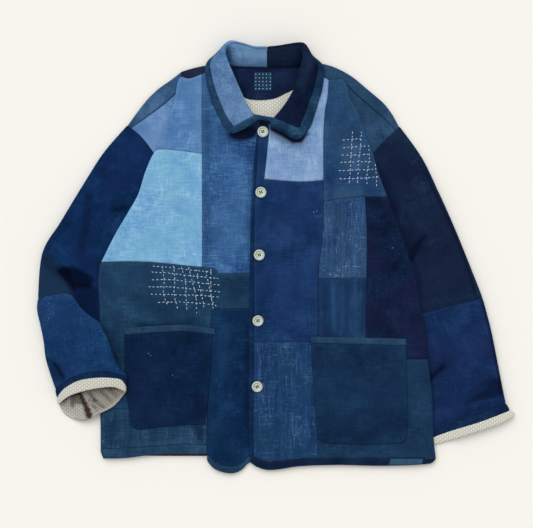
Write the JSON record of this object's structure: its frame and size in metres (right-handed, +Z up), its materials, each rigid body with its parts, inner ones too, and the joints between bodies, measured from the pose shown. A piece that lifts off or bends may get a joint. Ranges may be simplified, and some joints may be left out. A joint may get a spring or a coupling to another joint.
{
  "type": "patched boro jacket",
  "caption": "Patchwork indigo work jacket with a turned-down collar, patch pockets and buttoned front, laid flat.",
  "frame": {"origin": "middle of the plan, on the surface that the jacket lies on", "axes": "+Z up from the surface, +Y towards the collar, +X towards the wearer's left sleeve"},
  "size_m": [0.8566, 0.7768, 0.0332],
  "materials": {
    "shoulder_chambray": "faded plain-weave cotton",
    "sky_cotton": "pale washed cotton",
    "column_indigo": "slubby mid-indigo cotton",
    "teal_indigo": "teal-cast indigo cotton",
    "deep_indigo": "deep indigo cotton",
    "hem_kasuri": "indigo cotton with pale dashed warp",
    "yoke_blue": "mid-indigo cotton",
    "yoke_dark": "dark indigo cotton",
    "periwinkle_cotton": "faded periwinkle cotton",
    "sashiko_blue": "indigo cotton with white running stitch",
    "kasuri_blue": "speckled indigo cotton",
    "plain_blue": "washed indigo cotton",
    "navy_cotton": "navy cotton twill",
    "aubergine_navy": "dark navy cotton with a purple cast",
    "speckled_indigo": "slubby speckled indigo cotton",
    "side_hem_teal": "teal-cast indigo cotton",
    "black_navy": "near-black navy cotton",
    "pocket_navy": "dark navy cotton",
    "pocket_teal": "dark teal-cast indigo cotton",
    "pocket_binding": "folded indigo cotton strip",
    "back_indigo": "indigo cotton",
    "maroon_cotton": "dark maroon cotton strip",
    "cream_lining": "cream cotton with a small woven grain figure",
    "label_blue": "woven label with a plain motif",
    "collar_chambray": "faded chambray",
    "collar_navy": "near-black navy cotton",
    "collar_binding": "folded indigo cotton strip",
    "sleeve_navy": "dark navy cotton",
    "sleeve_speckled": "worn indigo cotton with pale flecks",
    "sleeve_dark": "near-black navy cotton",
    "sleeve_blue": "indigo cotton",
    "cuff_binding": "folded dark indigo strip",
    "button_ivory": "polished ivory-coloured shell or resin"
  },
  "bodies": {
    "root": {"front_right_shoulder_patch": "shoulder_chambray", "front_right_armhole_patch": "shoulder_chambray", "front_right_sky_patch": "sky_cotton", "front_right_column_patch": "column_indigo", "front_right_teal_patch": "teal_indigo", "front_left_armhole_patch": "teal_indigo", "yoke_left": "teal_indigo", "front_right_lower_panel": "deep_indigo", "front_right_lower_binding": "deep_indigo", "front_right_hem_patch": "hem_kasuri", "front_right_hem_binding": "hem_kasuri", "yoke_right_outer": "yoke_blue", "yoke_right_inner": "yoke_dark", "front_left_periwinkle_patch": "periwinkle_cotton", "front_left_sashiko_patch": "sashiko_blue", "front_left_kasuri_patch": "kasuri_blue", "front_left_edge_binding": "kasuri_blue", "front_left_plain_patch": "plain_blue", "hem_repair_patch": "plain_blue", "front_left_main_panel": "navy_cotton", "front_left_side_panel": "aubergine_navy", "front_left_lower_panel": "speckled_indigo", "front_left_side_hem_patch": "side_hem_teal", "front_left_top_corner": "black_navy", "front_left_hem_binding": "black_navy", "neck_facing": "black_navy", "pocket_right": "pocket_navy", "pocket_left": "pocket_teal", "pocket_right_binding": "pocket_binding", "pocket_left_binding": "pocket_binding", "back_panel": "back_indigo", "back_hem_binding": "maroon_cotton", "back_lining": "cream_lining", "cuff_right_lining": "cream_lining", "cuff_left_lining": "cream_lining", "neck_label": "label_blue", "collar_right": "collar_chambray", "collar_stand_right": "collar_chambray", "collar_left": "collar_navy", "collar_stand_left": "collar_navy", "collar_binding_right": "collar_binding", "collar_binding_left": "collar_binding", "sleeve_right_upper": "sleeve_navy", "sleeve_right_lower": "sleeve_speckled", "sleeve_left_upper": "sleeve_dark", "sleeve_left_lower": "sleeve_blue", "cuff_right_binding": "cuff_binding", "cuff_left_binding": "cuff_binding", "button_1": "button_ivory", "button_2": "button_ivory", "button_3": "button_ivory", "button_4": "button_ivory", "button_5": "button_ivory"}
  },
  "joints": []
}
